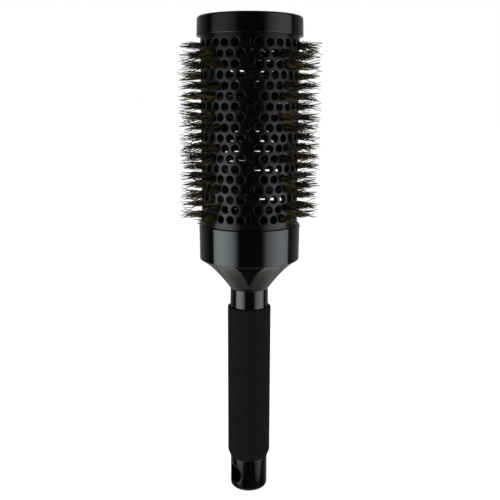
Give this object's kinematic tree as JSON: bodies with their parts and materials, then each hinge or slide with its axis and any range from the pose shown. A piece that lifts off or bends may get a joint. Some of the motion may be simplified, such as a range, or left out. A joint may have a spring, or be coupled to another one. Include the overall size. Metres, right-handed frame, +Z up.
{
  "type": "round barrel brush",
  "caption": "Round hairbrush with a vented metal barrel, mixed-bristle tufts on a twisted-wire core, a cap, a flared collar and a straight handle with a foam grip sleeve.",
  "frame": {"origin": "centre of the handle's flat foot", "axes": "+Z up the brush's axis from the handle to the cap; -Y is the front; the hanging hole faces front left and back right"},
  "size_m": [0.0778, 0.0778, 0.2692],
  "materials": {
    "gloss_plastic": "moulded, high gloss black",
    "foam_rubber": "fine matt foam rubber",
    "barrel_coating": "dark ceramic coating over aluminium, semi-gloss",
    "wire": "drawn steel wire",
    "boar_hair": "natural bristle, dark brown with paler hairs",
    "nylon": "smooth black nylon"
  },
  "bodies": {
    "root": {"handle": "gloss_plastic", "grip_sleeve": "foam_rubber", "collar": "gloss_plastic", "barrel": "barrel_coating", "end_cap": "gloss_plastic", "core_wire_a": "wire", "core_wire_b": "wire", "boar_tufts_front": "boar_hair", "boar_tufts_front_right": "boar_hair", "boar_tufts_right": "boar_hair", "boar_tufts_back_right": "boar_hair", "boar_tufts_back": "boar_hair", "boar_tufts_back_left": "boar_hair", "boar_tufts_left": "boar_hair", "boar_tufts_front_left": "boar_hair", "nylon_quills_front": "nylon", "nylon_quills_front_right": "nylon", "nylon_quills_right": "nylon", "nylon_quills_back_right": "nylon", "nylon_quills_back": "nylon", "nylon_quills_back_left": "nylon", "nylon_quills_left": "nylon", "nylon_quills_front_left": "nylon"}
  },
  "joints": []
}
